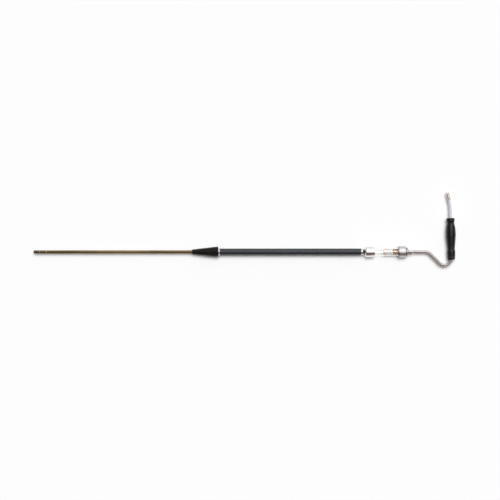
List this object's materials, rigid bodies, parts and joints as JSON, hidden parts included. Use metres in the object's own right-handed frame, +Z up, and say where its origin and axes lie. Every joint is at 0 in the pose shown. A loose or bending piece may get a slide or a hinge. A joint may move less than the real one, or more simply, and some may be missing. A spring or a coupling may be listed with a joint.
{
  "type": "soil gas sampling probe",
  "caption": "Long slim soil probe: thin lance with a sliding sealing cone, stiff sleeve, clear filter chamber between union nuts, cranked tube through a moulded grip, hose nozzle.",
  "frame": {"origin": "centre of the flat end face of the probe's tip, on the probe's axis", "axes": "+X along the probe from the tip to the grip, +Y towards the hose nozzle, +Z up when the probe lies flat"},
  "size_m": [1.0128, 0.1792, 0.0286],
  "materials": {
    "lance_bronze": "dull olive bronze tube, drawn",
    "cone_rubber": "matt black moulded rubber",
    "seal_rubber": "black seal rubber",
    "bright_nickel": "bright nickel plate",
    "chrome": "polished chrome plate",
    "slate_sleeve": "slate grey satin tube",
    "dark_steel": "blackened steel",
    "clear_acrylic": "clear polished tube",
    "copper": "satin copper",
    "brass": "turned brass",
    "filter_felt": "white filter felt",
    "grey_gauze": "fine steel gauze",
    "white_nylon": "plain nylon",
    "stainless": "bright drawn stainless tube",
    "satin_tube": "satin light metal tube",
    "grip_plastic": "black moulded plastic, semi-gloss"
  },
  "bodies": {
    "probe": {"tip_plug": "lance_bronze", "lance_tube": "lance_bronze", "front_collar": "bright_nickel", "sleeve_tube": "slate_sleeve", "spacer_bush_1": "white_nylon", "spacer_bush_2": "white_nylon", "rear_collar": "bright_nickel", "neck_nipple": "dark_steel", "front_seal": "seal_rubber", "sight_tube": "clear_acrylic", "retaining_ring": "copper", "felt_filter": "filter_felt", "filter_cage": "brass", "gauze_element": "grey_gauze", "rear_seal": "seal_rubber"},
    "cone": {"sealing_cone": "cone_rubber", "cone_bush": "brass", "cone_o_ring": "seal_rubber"},
    "front_nut": {"front_union_nut": "chrome"},
    "rear_nut": {"rear_union_nut": "chrome"},
    "crank": {"rear_spigot": "bright_nickel", "gland_nut": "bright_nickel", "gland_olive": "brass", "crank_tube": "stainless", "tube_coupler": "brass", "tail_tube": "satin_tube", "grip": "grip_plastic", "grip_end_ring": "grip_plastic", "grip_screw": "dark_steel", "hose_nozzle": "chrome"}
  },
  "joints": [
    {"name": "cone_slide", "type": "slide", "parent": "probe", "child": "cone", "axis": [-1, 0, 0], "range_m": [0, 0.3]},
    {"name": "front_nut_turn", "type": "hinge", "parent": "probe", "child": "front_nut", "pos_m": [0.8064, 0, 0], "axis": [1, 0, 0], "continuous": true},
    {"name": "rear_nut_turn", "type": "hinge", "parent": "probe", "child": "rear_nut", "pos_m": [0.8862, 0, 0], "axis": [1, 0, 0], "continuous": true},
    {"name": "crank_swivel", "type": "hinge", "parent": "probe", "child": "crank", "pos_m": [0.899, 0, 0], "axis": [1, 0, 0], "continuous": true}
  ]
}
